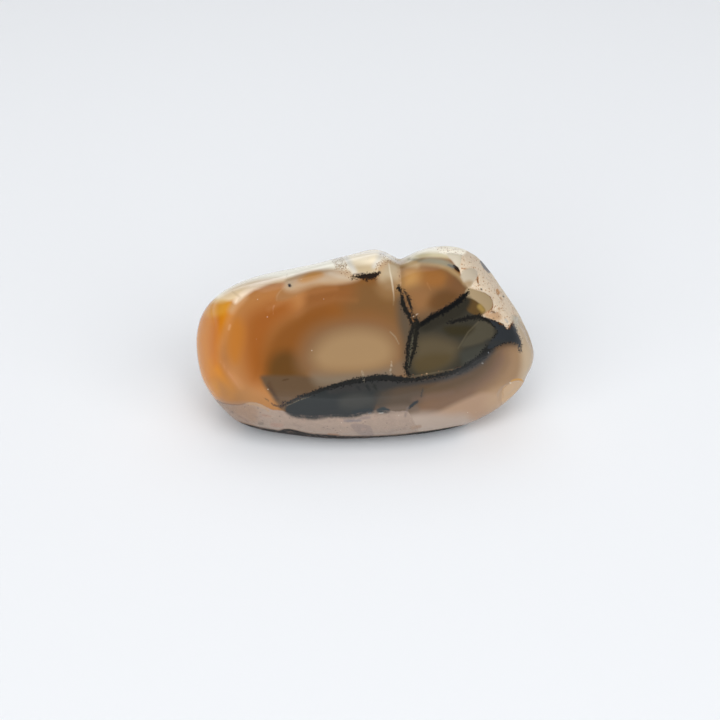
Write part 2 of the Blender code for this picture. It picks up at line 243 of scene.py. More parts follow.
# Each marking is (points, softness of its edge, raggedness of its edge, colour, strength), in pixels. Where
# the points have two numbers they go round a patch; where they have three they follow a seam, and the third
# is its half width. They are laid over one another in this order. Each colour is one tone for the whole
# marking, fitted to the photograph through the light that falls on it.
markings = {
    # the clear brown opal and its milky eye
    "oliveBrownRight": ([
        (340, 284), (400, 284), (410, 320), (412, 372), (398, 374), (392, 330), (372, 316), (346, 312),
    ], 22, 0, "694926", 1),
    "underCrown": ([
        (282, 286), (286, 266), (320, 252), (350, 244), (400, 244), (404, 262), (400, 276), (384, 278),
        (366, 274), (352, 280), (330, 286), (300, 290),
    ], 8, 0, "B08E66", 1),
    "upperOrange": ([
        (272, 300), (292, 288), (330, 284), (352, 286), (350, 300), (326, 306), (304, 318), (288, 332),
        (272, 326),
    ], 26, 0, "7A4B22", 1),
    "orangeField": ([
        (224, 324), (230, 302), (243, 290), (260, 280), (284, 276), (302, 286), (302, 314), (284, 330),
        (272, 346), (264, 364), (268, 384), (280, 404), (280, 412), (252, 408), (236, 390), (226, 368),
        (221, 345),
    ], 14, 0, "9A6738", 1),
    "deepOrange": ([
        (246, 318), (262, 306), (284, 300), (292, 312), (276, 330), (270, 350), (268, 376), (252, 384),
        (244, 364), (242, 340),
    ], 26, 0, "854B17", 1),
    "brightOrange": ([
        (228, 326), (238, 318), (244, 332), (240, 356), (234, 364), (227, 352),
    ], 14, 0, "A06016", 0.7),
    "brownRing": ([
        (268, 340), (280, 324), (300, 314), (326, 310), (322, 326), (304, 340), (300, 358), (296, 384),
        (268, 384), (262, 362),
    ], 24, 0, "724314", 0.95),
    "ringShadow": ([
        (268, 366), (276, 354), (290, 352), (304, 364), (310, 378), (290, 384), (270, 382),
    ], 16, 0, "543612", 1),
    "heart": ([
        (298, 360), (306, 338), (322, 326), (350, 319), (378, 320), (398, 330), (406, 350), (404, 374),
        (372, 384), (332, 386), (306, 378),
    ], 26, 0, "705337", 1),
    "heartGlow": ([
        (314, 356), (328, 338), (356, 331), (380, 335), (392, 347), (390, 362), (372, 371), (344, 373),
        (322, 370),
    ], 22, 0, "896E4D", 1),
    "heartLow": ([
        (318, 386), (334, 380), (352, 376.5), (376, 373), (392, 371), (392, 386), (372, 388),
        (330, 394), (310, 398),
    ], 16, 0, "605C52", 0.85),
    "heartCorner": ([(393, 366), (404, 362), (408, 376), (398, 378), (388, 377)], 8, 0, "6A5744", 0.8),
    "veinShade": ([
        (397, 296), (404, 296), (412, 322), (413, 350), (407, 366), (403, 364), (403, 345), (398, 322),
    ], 12, 0, "4E4132", 1),
    "paleArcUpper": ([
        (268, 310, 2), (286, 300, 2.5), (310, 293, 2.5), (336, 289, 2),
    ], 6, 0, "97653A", 0.35),
    "paleArcInner": ([
        (296, 316, 2), (312, 306, 2.5), (334, 300, 2.5), (356, 301, 2),
    ], 7, 0, "83552D", 0.4),
    "amber": ([
        (180, 345), (186, 322), (198, 303), (212, 295), (236, 299), (232, 312), (224, 328), (220, 345),
        (219, 358), (224, 374), (236, 392), (226, 404), (204, 398), (188, 370),
    ], 11, 0, "B77004", 1),
    "amberPale": ([
        (180, 345), (184, 322), (194, 304), (200, 303), (199, 320), (197.5, 345), (199, 366),
        (205, 384), (203, 392), (188, 372),
    ], 8, 0, "BE8112", 0.9),
    "amberDeep": ([
        (217, 320, 4), (215, 330, 5), (213.5, 342, 5), (213.5, 354, 4), (215, 364, 2),
    ], 10, 0, "AB5E04", 0.7),
    "amberTop": ([
        (202, 314), (206, 304), (214, 298), (228, 299), (232, 306), (224, 314), (210, 317),
    ], 8, 0, "BE852A", 0.8),
    # painted reflection of a side lamp: a pale streak down the ridge between the left end and the face, and
    # its upper end
    "paintedRidgeReflection": ([
        (240, 301, 3), (234, 308, 3), (229.5, 316, 3), (227, 325, 3), (223.5, 336, 3),
        (220.5, 348, 2.6), (221, 360, 2.6), (226, 370, 3), (233, 380, 3.2), (240, 389, 3),
    ], 9, 0, "B97E4A", 0.45),
    "upperRidgeReflection": ([(243, 297, 4), (236, 303, 4), (231, 311, 3)], 8, 0, "B08A63", 0.85),
    "bandGlint": ([(229.5, 326, 1.2), (228.5, 330, 1)], 2.4, 0, "BA8B61", 0.6),
    # painted highlight: a thin pale line on the lower part of the same ridge
    "paintedRidgeHighlight": ([
        (220.5, 362, 0.7), (225, 369, 0.9), (231, 377, 1), (236, 384, 0.9), (240, 390, 0.6),
    ], 3, 0, "AD774F", 0.45),
    "lowOrange": ([
        (216, 380), (232, 384), (246, 388), (258, 395), (270, 400), (282, 404), (284, 413), (262, 414),
        (240, 412), (222, 410), (206, 398),
    ], 20, 0, "8E6336", 0.8),
    "amberFoot": ([(204, 386), (214, 382), (219, 392), (218, 402), (208, 396)], 10, 0, "B8781C", 0.7),
    "yellowish": ([
        (200, 304), (208, 294), (220, 286), (230, 290), (230, 298), (222, 302), (212, 302),
    ], 8, 0, "D3B781", 1),
    # the cream crown
    "creamBand": ([
        (212, 298), (222, 284), (240, 276), (262, 272), (284, 268), (294, 276), (284, 282), (264, 284),
        (250, 289.5), (241, 297), (230, 301), (220, 299),
    ], 5, 0, "D6BE99", 1),
    "whiteBand": ([
        (235, 302, 2), (242, 295, 2.6), (252, 288, 3), (264, 283, 3), (275, 279.5, 2.6),
        (284, 278, 2.2),
    ], 5, 0, "E4D0B7", 0.9),
    "bandShade": ([(232, 292, 0.8), (240, 298, 1), (238, 301, 0.8)], 3, 0, "BCA384", 0.6),
    # painted shade: a thin darker line along the ridge where the crown meets the face
    "paintedRidgeShade": ([(252, 279.5, 0.6), (266, 277, 0.7), (281, 275.4, 0.5)], 1.6, 0, "BCAB8E", 0.7),
    "greyWedge": ([
        (276, 301), (276.6, 295), (281, 290), (287, 286), (300, 282), (314, 283), (310, 290),
        (296, 296), (284, 301),
    ], 5, 0, "8C633C", 0.85),
    "wedgeEdge": ([
        (276.2, 301, 0.4), (276.8, 296, 0.6), (280, 291.4, 0.6), (285, 287.6, 0.4),
    ], 1.6, 0, "A3825E", 0.4),
    "tanOrange": ([
        (286, 282), (296, 273), (312, 273), (326, 280), (308, 287), (294, 292), (284, 290),
    ], 9, 0, "A98C6D", 0.95),
    "beigeFade": ([
        (320, 262), (352, 262), (360, 277), (350, 282.5), (330, 284), (318, 280),
    ], 8, 0, "A88F72", 1),
    # the crown's cream rim, made near-white along the top edge: partly its own colour, partly a painted
    # highlight
    "creamRimAndHighlight": ([
        (212, 294), (222, 283), (243, 272), (265, 266), (290, 262), (318, 254), (345, 246), (372, 240),
        (390, 243), (404, 252), (396, 261), (384, 261), (372, 268), (350, 270), (336, 269), (324, 269),
        (312, 271), (300, 273.4), (288, 277), (270, 278), (254, 280), (240, 284), (228, 290),
        (218, 297),
    ], 6, 0, "F7F2DF", 1),
    "orangePatch": ([
        (302, 277), (310, 272.4), (320, 272), (323, 276), (314, 280), (304, 283), (298, 281),
    ], 7, 0, "A7773D", 1),
    "beigeGap": ([(330, 274, 2), (340, 277.4, 2.4), (350, 279, 1.6)], 6, 0, "B4A794", 0.5),
    "creamCap": ([
        (344, 254), (356, 248), (372, 244), (384, 247), (383, 258), (378, 268), (374, 273.6),
        (354, 274), (349, 268), (344, 262),
    ], 4, 0, "F6E8CC", 1),
    "capLow": ([(350, 266), (362, 264), (377, 265), (375, 274), (354, 275)], 9, 0, "A48F6C", 0.9),
    "capBlueLeft": ([(345, 257, 2), (349, 264, 3), (354, 272, 2.4)], 7, 0, "C4C3BE", 0.75),
    "capBlueRight": ([(384, 251, 3), (379, 260, 3), (374, 267, 2)], 7, 0, "C3C0BA", 0.7),
    "beigeRight": ([
        (380, 274), (386, 265), (398, 261), (401, 276), (399, 288), (388, 290), (379, 282),
    ], 10, 0, "A69477", 1),
    "beigeLow": ([
        (376, 286), (388, 279), (399, 283), (400, 294), (390, 300), (380, 296),
    ], 12, 0, "7E5E3A", 0.8),
    "lightStreak": ([
        (388.6, 264, 0.6), (389.8, 272, 0.7), (391.4, 280, 0.8), (392.6, 288, 0.7), (393.4, 295, 0.4),
        (393.6, 302, 0.2),
    ], 1.4, 0, "C4B8A2", 0.75),
    "faintStreak": ([(393.6, 298, 0.7), (393.2, 306, 0.5)], 1.6, 0, "836D4E", 0.5),
    # the lump at the right of the crown
    "lumpBody": ([
        (402, 258), (421, 260), (436, 262), (452, 268), (466, 283), (469, 290), (462, 300), (448, 310),
        (432, 318), (418, 325), (412, 314), (406, 300), (401, 284),
    ], 5, 0, "5B452F", 1),
    "lumpOchre": ([
        (402, 270), (414, 266), (424, 272), (422, 284), (408, 290), (402, 286),
    ], 20, 0, "A37945", 0.95),
    "lumpCentre": ([
        (424, 268), (440, 268), (450, 278), (442, 289), (427, 290), (420, 280),
    ], 18, 0, "845628", 0.95),
    "lumpPink": ([
        (406, 292), (420, 288), (434, 294), (432, 306), (418, 313), (409, 304),
    ], 16, 0, "7E5833", 0.9),
    "lumpRight": ([(448, 276), (460, 280), (466, 290), (458, 296), (448, 292)], 10, 0, "694526", 0.7),
    "lumpShade": ([
        (432, 296), (446, 291), (460, 297), (452, 305), (438, 312), (428, 306),
    ], 12, 0, "553513", 0.75),
    "lumpRidge": ([(427, 283.6, 0.6), (430.5, 291, 0.5)], 2, 0, "9E7348", 0.35),
    "lumpTopCream": ([
        (398, 262), (408, 255), (419, 245), (432, 239), (456, 238), (462, 250), (454, 256), (438, 256),
        (422, 256.5), (410, 262),
    ], 6, 0, "F6F1E2", 1),
    "lumpBeige": ([
        (402, 264, 2), (414, 263, 3), (426, 263.4, 3), (438, 264.6, 3), (448, 268.6, 2.6),
        (458, 276, 2), (464, 283, 1.4),
    ], 5, 0, "977C56", 0.9),
    "lumpTan": ([(401, 262, 3), (408, 263, 4), (416, 265, 3)], 7, 0, "AD936B", 0.9),
    "khakiBand": ([
        (408, 260.5, 1.6), (416, 256.6, 2.4), (428, 255.4, 2.6), (440, 255.6, 2.6), (449, 257.5, 1.8),
    ], 6, 0, "BBAF8A", 0.95),
    "greyBand": ([
        (419, 261.4, 1.2), (430, 261, 2.6), (440, 262, 3), (448, 264.4, 2.8), (453, 267, 2.2),
    ], 5, 0, "7F7964", 1),
    "greySmudge": ([(408, 259.8, 0.7), (412, 259.8, 1), (417, 260.2, 0.7)], 3, 0.6, "77745E", 0.7),
    "paleWedge": ([
        (446, 250), (454, 248), (463, 250), (463, 262), (461.6, 270), (458, 269.5), (453, 262.5),
        (448, 257),
    ], 2.4, 0, "BFB5A1", 1),
    # rough matrix at the right
    "rightMatrix": ([
        (463.6, 236), (462, 252), (461, 262), (459.5, 270), (464, 281), (469, 289), (473.6, 291),
        (487.3, 294.5), (492.7, 301), (492.7, 309), (485.5, 313.6), (481, 316.4), (491.8, 321),
        (501, 323.6), (508, 330), (511, 324.5), (517.3, 317.3), (518, 324.5), (523.6, 329), (528, 340),
        (536, 352), (552, 345), (536, 290), (510, 250), (482, 230),
    ], 1.4, 1.6, "CAB8A0", 1),
    "topMatrix": ([(438, 252), (440, 238), (468, 238), (465, 254), (452, 253.4)], 3, 1.8, "F7F0DE", 1),
    "tanGrain": ([(482, 313), (490, 310), (500, 313), (502, 320), (492, 321)], 6, 1.6, "996E43", 0.7),
    "greyCream": ([
        (513, 318), (518, 316), (523, 324), (527, 336), (525, 346), (520, 338), (515, 331),
    ], 5, 1, "A49D8B", 0.9),
    "orangeSpot": ([(465, 269, 1.4), (467, 270.5, 1.4)], 1.5, 1.2, "A6794A", 0.9),
    "palePatch": ([
        (460.5, 277), (464, 270.5), (471, 268.6), (477, 271.6), (476.6, 278), (470, 287), (465, 284),
    ], 3.4, 0.5, "ACA08D", 1),
    "palePatchLow": ([(463, 284), (469, 281), (473, 283), (468.6, 289)], 5, 0, "917959", 0.8),
    "clearPatch": ([
        (467, 289), (478, 291), (487.3, 294.8), (492.6, 301.8), (491.4, 309), (486, 313), (481.8, 316),
        (474, 316), (466, 312), (464, 300),
    ], 1.8, 0.4, "917E61", 1),
    "clearPatchDark": ([
        (464, 299), (472, 299.4), (478, 303), (484, 308.4), (485, 313), (478, 318), (466, 319),
        (456, 315), (458, 305),
    ], 2.2, 0, "483313", 0.95),
    "clearPatchGlow": ([(480, 307.4, 2.6), (483, 311, 2.2)], 4, 0, "90763E", 0.85),
    # the smoky olive part and its seams
    "oliveField": ([
        (411, 325), (424, 323), (440, 314), (452, 307), (462, 304), (468, 312), (476, 316), (484, 318),
        (494, 322), (502, 338), (494, 350), (484, 358), (466, 369), (440, 377), (411, 380), (406, 372),
        (408, 350),
    ], 3, 0, "2D2A22", 1),
    "oliveLight": ([
        (418, 340), (436, 337), (458, 346), (452, 362), (430, 372), (414, 366), (414, 350),
    ], 18, 0, "4B412F", 1),
    "oliveYellow": ([(414, 362), (430, 355), (450, 356), (444, 366), (420, 374)], 10, 0, "453922", 0.8),
    "oliveQuad": ([
        (480, 322), (492, 325), (492, 338), (474, 346), (461, 347), (468, 335),
    ], 5, 0, "443F32", 0.8),
    "oliveDark": ([(444, 328), (460, 326), (474, 328), (466, 336), (450, 336)], 8, 0, "2A2412", 0.9),
    "oliveBlue": ([(460, 354), (474, 348), (488, 346), (484, 360), (466, 368)], 9, 0, "34342E", 0.9),
    "oliveLine": ([(479, 322, 0.7), (468, 333, 0.7), (458, 349, 0.5)], 1.8, 0, "564E3D", 0.5),
    "underUpperSeam": ([
        (418, 326), (431, 317), (447, 309), (458, 303), (466, 297), (471, 301), (468, 309), (460, 317),
        (450, 322), (436, 328), (424, 332),
    ], 7, 0, "242119", 1),
    "rightBrown": ([
        (402, 381), (420, 379), (440, 375), (461, 370), (477, 361), (486, 352), (496, 345), (510, 342),
        (524, 344), (540, 342), (556, 366), (536, 396), (508, 420), (463, 442), (420, 446), (396, 440),
        (390, 404), (394, 388),
    ], 2, 0, "45341E", 1),
    "rightTan": ([
        (500, 348), (516, 344), (540, 340), (552, 366), (530, 400), (490, 410), (460, 420), (430, 424),
        (414, 412), (424, 399), (450, 392), (474, 382), (490, 368),
    ], 20, 0, "674D38", 1),
    "rightWarm": ([
        (510, 350), (524, 346), (544, 350), (548, 372), (520, 400), (488, 408), (478, 396), (494, 382),
        (506, 366),
    ], 18, 0, "866847", 1),
    "rightPale": ([
        (516, 330), (526, 324), (538, 336), (550, 346), (548, 372), (534, 392), (518, 388), (522, 366),
        (520, 346),
    ], 10, 0, "A59074", 1),
    "rightStreak": ([(506, 352, 1.6), (507, 362, 1.8), (502, 372, 1.4)], 6, 0, "745738", 0.5),
    "underSeam": ([
        (412, 385, 4), (430, 383.5, 4.5), (450, 380, 4.5), (468, 374, 4), (486, 360, 3.4),
    ], 9, 0, "4F3C2B", 0.8),
    "lensRight": ([
        (374, 384), (400, 382), (418, 384), (422, 396), (414, 406), (396, 410), (378, 411),
    ], 11, 0, "44372A", 1),
    "bevelPink": ([(414, 401, 3), (426, 398, 3), (440, 396, 2.6), (452, 393, 2)], 7, 0, "675146", 0.3),
    "bevel": ([
        (440, 412), (450, 406.8), (462, 401), (473.6, 396), (484, 393), (496, 396), (502, 410),
        (488, 426), (463, 444), (430, 448), (418, 424),
    ], 7, 0, "947860", 1),
    "bevelRight": ([
        (490, 394), (504, 388), (524, 382), (534, 390), (504, 414), (486, 408),
    ], 16, 0, "9F8468", 0.8),
    "milkyBottom": ([
        (390, 422), (410, 415), (430, 413.6), (448, 415), (468, 416), (474, 436), (430, 448),
        (390, 448),
    ], 12, 0, "97877A", 1),
    "flakeFace": ([
        (503, 388.4), (509, 384.4), (513, 381.6), (522, 381.4), (528, 386), (516, 400), (503, 406),
    ], 1.4, 0, "AB8F6F", 0.9),
    "flakeSide": ([
        (509.5, 384, 0.5), (504.5, 387.4, 0.5), (503, 389, 0.5), (503, 398.6, 0.4),
    ], 1, 0, "966B39", 0.7),
    "flakeEdge": ([
        (511, 382.2, 0.7), (513, 380.6, 1), (517.3, 379.6, 1.1), (521.4, 380, 1), (523.4, 382, 0.7),
    ], 1, 0.3, "A87A34", 0.95),
    "flakeGlint": ([(510, 383.4, 0.6), (511, 383.2, 0.6)], 0.8, 0, "D1C3A9", 0.8),
    # the dusky wedge and the lower matrix
    "duskyWedge": ([
        (262, 376.6), (285, 376.4), (300, 376.6), (326, 380), (336, 384), (322, 391), (304, 397),
        (296, 401), (284, 412), (276, 404), (270.6, 396), (265, 388), (262, 382),
    ], 6, 0, "523F2C", 1),
    "wedgeRight": ([(312, 375), (334, 376), (352, 379), (338, 387), (318, 386)], 15, 0, "6D5F4E", 0.9),
    "duskyLeft": ([(268.6, 384, 1.6), (272.4, 392, 2), (277, 400, 1.8)], 5, 0, "48321F", 0.7),
    "lowMatrix": ([
        (196, 394), (216.4, 400.5), (221, 403.2), (230, 405), (240, 405.5), (248, 403.2), (257.3, 404),
        (265.5, 407.7), (271.8, 410.5), (279, 411), (284, 412), (291, 414), (309, 416), (336, 415),
        (351, 415), (375, 411), (396, 412), (410, 415), (414, 448), (330, 452), (280, 448), (226, 436),
        (200, 412),
    ], 1.6, 1.0, "8C7B6E", 1),
    "lowMatrixLeft": ([
        (212, 400), (230, 404), (248, 404), (258, 412), (252, 430), (236, 428), (216, 414),
    ], 9, 0.6, "846C59", 0.9),
    "matrixMeetsLens": ([
        (376, 412, 3), (390, 410.5, 3), (404, 409, 3), (416, 409.5, 3),
    ], 8, 0, "5E5045", 0.8),
    "darkRim": ([
        (216.4, 400.8, 0.6), (221, 403.4, 0.6), (230, 405.2, 0.6), (240, 405.7, 0.6), (248, 403.6, 0.5),
    ], 1.4, 0.6, "654B37", 0.7),
    "paleArc": ([
        (246, 404.4, 1), (253, 404.6, 1.4), (260, 406.6, 1.4), (266, 409.4, 1), (268, 412, 0.8),
    ], 1.8, 0.4, "977B5C", 0.7),
    "greySpot": ([(259, 424, 1.6), (262, 424.4, 1.6)], 2, 0.8, "695B50", 0.8),
    "purpleStreak": ([
        (238, 416.5, 0.5), (241, 417.7, 0.7), (245.5, 420.5, 0.7), (248, 423, 0.5),
    ], 1.4, 0.6, "664D44", 0.7),
    "greyFlecks": ([(231, 412, 0.8), (233, 413, 0.8)], 1.4, 0.6, "5C4A42", 0.7),
    "greyFlecks2": ([(252, 416, 0.8), (257, 418, 0.9)], 1.6, 0.6, "6D5F54", 0.6),
    "reddishPatch": ([(272, 425.5, 2), (281, 426.5, 2)], 2.4, 0.8, "8F7264", 0.7),
    "reddishFlecks": ([(262, 416, 1), (270, 417.5, 0.9)], 1.8, 0.8, "896753", 0.6),
    "palePurple": ([(344.5, 421.5, 1.4), (352, 421.5, 1.6), (360, 421, 1.4)], 2.4, 0.6, "686162", 0.9),
    "greyPink": ([(362, 418.8, 1.6), (369, 418.4, 1.4)], 2.4, 0.6, "756762", 0.8),
    "greyPatch": ([
        (350, 426), (354.5, 424.5), (363.6, 425.5), (370, 427.3), (372.7, 433), (372.7, 436.5),
        (361.8, 436.5), (355.4, 432.3),
    ], 1.6, 0.8, "7D6E66", 0.95),
    "greyDot": ([(388, 434.5, 1.4), (393, 431.5, 1.4)], 2, 0.6, "817168", 0.8),
    "reddishDot": ([(328, 434.8, 1), (338, 435.4, 1)], 1.6, 0.6, "86654F", 0.8),
    "brownDot": ([(412, 428.6, 1.8), (420, 427, 1.6)], 2, 0.6, "856D5A", 0.8),
    # the dark lens and the great seam
    "lens": ([
        (284.5, 410.5), (286.5, 414.5), (291.8, 417.5), (299, 419), (309, 420.2), (318, 420),
        (325.5, 418.6), (336.4, 418.6), (351, 418.8), (359, 417.4), (363.6, 415.4), (371.8, 414.4),
        (375, 410), (379, 400), (386, 390), (400, 383), (400, 378), (372, 378), (345, 383), (318, 391),
        (299, 398), (288, 405),
    ], 4, 1.4, "202323", 1),
    "lensBlue": ([
        (288, 409), (306, 402), (330, 402), (338, 412), (316, 418), (296, 416),
    ], 12, 0, "1F2223", 0.7),
    "lensPale": ([
        (340, 400), (354, 393), (370, 396), (374, 404), (358, 410), (342, 408),
    ], 12, 0, "30302D", 0.9),
    "lensRightSoft": ([(388, 386, 6), (382, 398, 6), (378, 407, 4)], 13, 0.6, "373028", 0.85),
    "lowerBlob": ([(354, 413.4, 2.4), (362, 412.6, 2.6), (370, 411.6, 2.2)], 3, 1, "1D2326", 0.85),
    "smallBlob": ([(378.6, 411.4, 2.2), (383, 411, 3.4), (387.6, 411.6, 2.2)], 2.4, 0.6, "232A2C", 1),
    "blobGlint": ([(378.6, 414.2, 0.4), (383, 413.8, 0.5)], 0.8, 0.3, "A5A29C", 0.8),
    "lensGlint": ([(368, 414.4, 0.4), (371, 414, 0.4)], 0.8, 0.3, "757879", 0.6),
    "seamGlow": ([
        (330, 392, 3), (345, 389, 4), (356, 388, 4.6), (370, 387, 5), (384, 386, 5), (396, 384.6, 4),
        (412, 383.6, 3), (430, 381.6, 3), (450, 377.5, 3), (468, 370, 3.4), (482, 361, 3.6),
        (492, 350, 3.4),
    ], 6, 1, "2C2B2A", 0.9),
    "greatSeam": ([
        (282, 406.5, 0.4), (286, 404, 0.9), (292.7, 401.2, 1.1), (299, 398, 1.3), (310, 395, 1.5),
        (318, 392, 1.7), (327.3, 388.6, 1.9), (336.4, 386, 2), (345.5, 383.8, 2.2), (354.5, 382, 2.3),
        (363.6, 380, 2.6), (372.7, 378.8, 2.8), (381.8, 378.4, 3), (391, 378.8, 2.8), (400, 379.6, 2.4),
        (409, 380.6, 2), (420, 379.5, 1.6), (428, 378.5, 1.4), (440, 376.4, 1.6), (450, 374, 1.8),
        (461, 370.5, 2.2), (469, 366.3, 2.6), (477, 361, 3.2), (484, 356, 3.2), (488, 349.5, 3),
        (493, 345.5, 3), (500, 341.5, 3.6),
    ], 1.6, 2.6, "191918", 1),
    "hangingBumps": ([(357, 388, 1.2), (360, 391, 0.8)], 2.4, 2.4, "191C1D", 0.6),
    "hangingBumps2": ([(367, 387, 1.6), (369.5, 391, 1.1)], 2.4, 2.4, "181B1A", 0.7),
    "hangingBumps3": ([(374, 387, 1.8), (376, 390, 1.2)], 2.4, 2.4, "181B17", 0.7),
    "seamCentre": ([
        (286.4, 406.3, 0.3), (291, 404.6, 0.4), (297.3, 401.6, 0.4), (302.7, 399.6, 0.4),
        (310, 397.3, 0.2),
    ], 0.9, 0.5, "6B614F", 0.8),
    "endGrains": ([(282.4, 402.5, 0.9), (283, 406, 1.1), (281, 408.4, 0.8)], 1.4, 1.4, "33221A", 0.9),
    "lowStreak": ([
        (267, 386, 0.6), (271, 390.5, 1), (274.6, 395.5, 1), (277.6, 401, 0.8),
    ], 2, 0.8, "3F3024", 0.7),
    "lowSpecks": ([(264, 398.5, 0.5), (268, 401.5, 0.6)], 1.2, 1.4, "47341F", 0.6),
    "lowSpecks2": ([
        (271, 404.5, 0.8), (275, 406.4, 0.9), (280, 407.4, 1), (283, 404, 0.8),
    ], 1.4, 1.5, "38291F", 0.8),
    "smudge": ([(282, 381.4, 0.5), (285.5, 380.6, 0.9), (288.6, 379.8, 0.4)], 1.2, 0.8, "3E2C18", 0.8),
    "upperSeam": ([
        (468, 293, 1.2), (463, 298, 2.4), (456, 304, 2.8), (448, 309, 2.6), (440, 313.5, 2.6),
        (432, 317.5, 2.4), (427.5, 321, 2.4), (421, 325, 2), (416, 327.5, 1.8),
    ], 1.8, 2.6, "050505", 1),
    "thinSeam": ([
        (447, 324, 0.7), (455, 322, 1.3), (462, 320, 1.6), (470, 318.5, 1.6), (479, 317, 2),
        (487, 320.4, 2), (492, 323, 2.4), (497, 326, 3),
    ], 2.2, 2.6, "14120F", 1),
    "blueMass": ([
        (490, 321), (497, 322), (499, 326), (503, 324.5), (508, 330), (512.5, 324.5), (516, 328),
        (518, 334.5), (520.6, 340), (521.4, 346), (520.8, 352), (518.6, 350), (516.6, 344), (510, 343),
        (501, 344.6), (496, 347.5), (488, 349), (491, 341), (497, 334), (496, 329),
    ], 2, 3, "24272A", 1),
    "massSoft": ([(488, 343, 3), (497, 344, 3), (508, 343.5, 2), (516, 345, 1.5)], 6, 0, "292927", 0.6),
    "veinLeft": ([
        (398.6, 286.5, 0.6), (398.4, 289, 1.8), (400.4, 293, 0.8), (402.4, 299, 1.6),
        (402.8, 305.5, 2.3), (406.3, 311.8, 2.3), (409, 316.4, 1.8), (411.4, 322.7, 1.6),
        (413.2, 327.3, 1.6), (412.5, 330, 1.4), (410.5, 335, 1.7), (408.4, 344, 1.6), (407.3, 353, 1.5),
        (406.8, 362, 1.2), (405.6, 367, 1.9), (406.4, 372, 1.4), (408.6, 376, 1.4), (409.4, 379, 1),
    ], 1.5, 2.8, "15130F", 1),
    "veinRight": ([
        (403, 290, 0.4), (404.5, 292.4, 0.6), (407.7, 298, 1.3), (409.6, 303.6, 1.5),
        (411.6, 312.7, 0.7), (413.8, 318, 0.7), (415.5, 325, 1.6), (416.2, 335, 2.2), (415, 344, 2),
        (413.2, 353, 1.6), (410.9, 362, 1.1), (409.4, 367, 1),
    ], 1.5, 2.8, "17150F", 1),
    "veinKnot": ([(416, 320, 1.6), (418.5, 325, 1.8), (417, 330, 1.6)], 1.8, 2.4, "12110D", 1),
    "veinSilver": ([
        (413, 338, 0.5), (411.3, 347, 0.6), (409.6, 356, 0.5), (408.6, 366, 0.4),
    ], 1.2, 0.6, "4D4C3F", 0.8),
    "clump": ([
        (351, 279, 1), (356, 277.8, 1.4), (362, 277, 2.2), (368, 277, 3.3), (373, 276.3, 3.2),
        (377, 274.6, 1.8), (379, 273.4, 1),
    ], 1.8, 2.4, "1C120B", 1),
    "clumpSpike": ([(366, 279, 1.4), (366.8, 282, 0.8)], 1.4, 1.4, "2B1807", 0.95),
    "clumpLine": ([(353.6, 274.6, 0.8), (363.6, 274, 0.9)], 1.4, 0.4, "7B6C5F", 0.8),
    "leftHalo": ([(288.6, 283, 3), (290, 286, 3.4)], 7, 0, "A08E74", 0.8),
    "leftDot": ([(289.2, 285.8, 1.6), (289.6, 286.2, 1.6)], 1.8, 1.2, "1A0707", 1),
    "streakSpeck": ([
        (273.6, 306.4, 0.7), (272.9, 309, 0.3), (272.6, 315, 0.15),
    ], 1.4, 0.3, "B18662", 0.6),
    "heartLine": ([(390, 332.7, 0.5), (395, 337.5, 0.6), (399, 345, 0.4)], 1.4, 0, "968B75", 0.5),
    "dustStreak": ([
        (391, 362, 0.5), (391.5, 367, 0.7), (390, 371.5, 0.5), (390.6, 376, 0.3),
    ], 1.4, 2.4, "A89E8B", 0.4),
    "dustStreak2": ([(361.6, 372, 0.5), (363, 376, 0.5), (363.6, 382.5, 0.4)], 1.4, 2.4, "A09581", 0.4),
    "edgeCapsule": ([
        (482.5, 261, 1.8), (486, 266.5, 2.2), (489.6, 271, 1.8),
    ], 1.4, 0.4, "606065", 0.95),
    "brownCapsule": ([
        (454, 266.6, 1.6), (456.5, 269, 1.8), (458.8, 271.3, 1.4),
    ], 1.4, 0.6, "211307", 1),
    "capsuleSmudge": ([(448, 265.4, 0.9), (451, 266.4, 1.2), (453, 267.5, 1)], 2, 0.5, "4D4E4E", 0.8),
    "lowCapsule": ([(417.4, 402, 1.2), (413, 405.2, 1.7), (408.4, 409, 1.2)], 1.6, 1.2, "1F2325", 1),
    "lowCapsuleTail": ([(408, 408, 0.9), (406, 413, 1.2), (405, 417.7, 1)], 2.6, 0.6, "655953", 0.7),
    "capsuleDots": ([(422.7, 389.5, 1), (421.8, 393, 0.5), (421.2, 397, 1.3)], 1.8, 2.0, "302B26", 0.9),
    "bluePin": ([(488.4, 353, 0.4), (488.6, 354, 0.4)], 1, 0.4, "878A8E", 0.6),
    "whitePin": ([(482, 364, 0.5), (483, 364.2, 0.5)], 1, 0.3, "ACABA7", 0.7),
    "deepPit": ([(478.6, 275.4, 0.8), (479, 279, 1.2), (479.4, 282.8, 0.8)], 1, 0.6, "8C5E2E", 0.95),
    "secondPit": ([(498.6, 289.8, 1.3), (499.6, 293, 1.8)], 1.2, 0.8, "A5753C", 0.95),
    "thirdPit": ([(501.6, 297.5, 0.9), (503, 299.2, 0.9)], 1.4, 0.8, "986E3E", 0.8),
    "fourthPit": ([(500.6, 307.6, 0.8), (500.2, 310.4, 0.8)], 1.2, 0.8, "9E7043", 0.8),
    "blackDot": ([(482.2, 289, 0.9), (482.6, 290, 0.9)], 1, 0.3, "2E2511", 0.95),
    "blackDot2": ([(504, 296.2, 0.7), (504.8, 296.8, 0.7)], 1, 0.3, "26211D", 0.95),
    "darkDots": ([(491.6, 312.2, 0.9), (496, 312.8, 0.9)], 1.2, 1, "4E3622", 0.8),
    "blueDot": ([(506.4, 320, 1.2), (508, 322.6, 1.2)], 2, 0.6, "949799", 0.8),
    "whiteFleck": ([(415.6, 315.6, 0.4), (418, 314.6, 0.4)], 0.8, 0.3, "D0CBC0", 0.8),
    # painted contact shadow: a near-black line along the base's lower edge, filled on down over the
    # underside, standing in for the shade in the gap where the stone meets the floor
    "paintedContactShadow": ([
